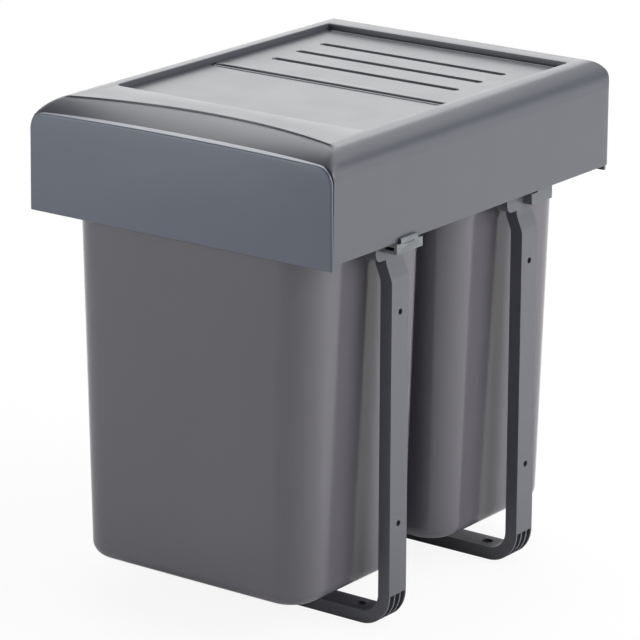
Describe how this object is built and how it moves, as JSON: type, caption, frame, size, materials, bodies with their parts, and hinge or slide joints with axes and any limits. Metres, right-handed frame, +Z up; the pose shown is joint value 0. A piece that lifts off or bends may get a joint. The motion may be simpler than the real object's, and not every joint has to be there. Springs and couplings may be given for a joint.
{
  "type": "pull-out waste bin frame",
  "caption": "Pull-out twin waste bin unit for a narrow base cabinet: U-shaped support frames under a lidded hood, with a front panel and hanging bins that slide out on roller runners.",
  "frame": {"origin": "under the middle of the outer box, on the cabinet floor", "axes": "+Z up; +Y from the front panel to the back of the hood; +X to the right-hand side of the unit as drawn (the side that the picture shows)"},
  "size_m": [0.2664, 0.34, 0.357],
  "materials": {
    "panel": "satin powder coat, blue-grey",
    "hood": "semi-gloss moulded grey",
    "lid": "satin moulded grey",
    "frame": "satin moulded dark grey",
    "clip": "satin moulded grey",
    "bin": "glossy moulded warm grey",
    "carrier": "satin grey paint",
    "rail": "light grey coating",
    "roller": "natural nylon",
    "fastener": "zinc plated"
  },
  "bodies": {
    "cabinet_frame": {"front_support_frame": "frame", "rear_support_frame": "frame", "hood": "hood", "front_right_hood_clip": "clip", "front_left_hood_clip": "clip", "rear_right_hood_clip": "clip", "rear_left_hood_clip": "clip", "right_outer_rail": "rail", "left_outer_rail": "rail", "outer_rail_screws": "fastener", "front_roller_pins": "fastener"},
    "carriage": {"bin_carrier": "carrier", "right_inner_rail": "rail", "left_inner_rail": "rail", "front_panel": "panel", "right_panel_bracket": "rail", "left_panel_bracket": "rail", "carrier_rivets": "fastener", "bracket_rivets": "fastener", "panel_nuts": "fastener", "rear_roller_pins": "fastener"},
    "front_bin": {"front_bin": "bin"},
    "rear_bin": {"rear_bin": "bin"},
    "front_lid": {"front_lid": "lid"},
    "rear_lid": {"rear_lid": "lid"},
    "right_front_roller": {"right_front_roller": "roller"},
    "left_front_roller": {"left_front_roller": "roller"},
    "right_rear_roller": {"right_rear_roller": "roller"},
    "left_rear_roller": {"left_rear_roller": "roller"}
  },
  "joints": [
    {"name": "carriage_slide", "type": "slide", "parent": "cabinet_frame", "child": "carriage", "axis": [0, -1, 0], "range_m": [0, 0.26]},
    {"name": "front_bin_lift", "type": "slide", "parent": "carriage", "child": "front_bin", "axis": [0, 0, 1], "range_m": [0, 0.03]},
    {"name": "rear_bin_lift", "type": "slide", "parent": "carriage", "child": "rear_bin", "axis": [0, 0, 1], "range_m": [0, 0.03]},
    {"name": "front_lid_hinge", "type": "hinge", "parent": "cabinet_frame", "child": "front_lid", "pos_m": [0, 0.00033, 0.3507], "axis": [-1, 0, 0], "range_deg": [0, 95]},
    {"name": "rear_lid_hinge", "type": "hinge", "parent": "cabinet_frame", "child": "rear_lid", "pos_m": [0, 0.1431, 0.3507], "axis": [-1, 0, 0], "range_deg": [0, 95]},
    {"name": "right_front_roller_spin", "type": "hinge", "parent": "cabinet_frame", "child": "right_front_roller", "pos_m": [0.11625, -0.152, 0.2975], "axis": [1, 0, 0], "range_deg": [0, 1700]},
    {"name": "left_front_roller_spin", "type": "hinge", "parent": "cabinet_frame", "child": "left_front_roller", "pos_m": [-0.11625, -0.152, 0.2975], "axis": [1, 0, 0], "range_deg": [0, 1700]},
    {"name": "right_rear_roller_spin", "type": "hinge", "parent": "carriage", "child": "right_rear_roller", "pos_m": [0.11625, 0.152, 0.2975], "axis": [1, 0, 0], "range_deg": [0, 1700]},
    {"name": "left_rear_roller_spin", "type": "hinge", "parent": "carriage", "child": "left_rear_roller", "pos_m": [-0.11625, 0.152, 0.2975], "axis": [1, 0, 0], "range_deg": [0, 1700]}
  ],
  "couplings": [
    {"joint": "right_front_roller_spin", "follows": "carriage_slide", "rad_per_m": 111.11},
    {"joint": "left_front_roller_spin", "follows": "carriage_slide", "rad_per_m": 111.11},
    {"joint": "right_rear_roller_spin", "follows": "carriage_slide", "rad_per_m": 111.11},
    {"joint": "left_rear_roller_spin", "follows": "carriage_slide", "rad_per_m": 111.11}
  ]
}
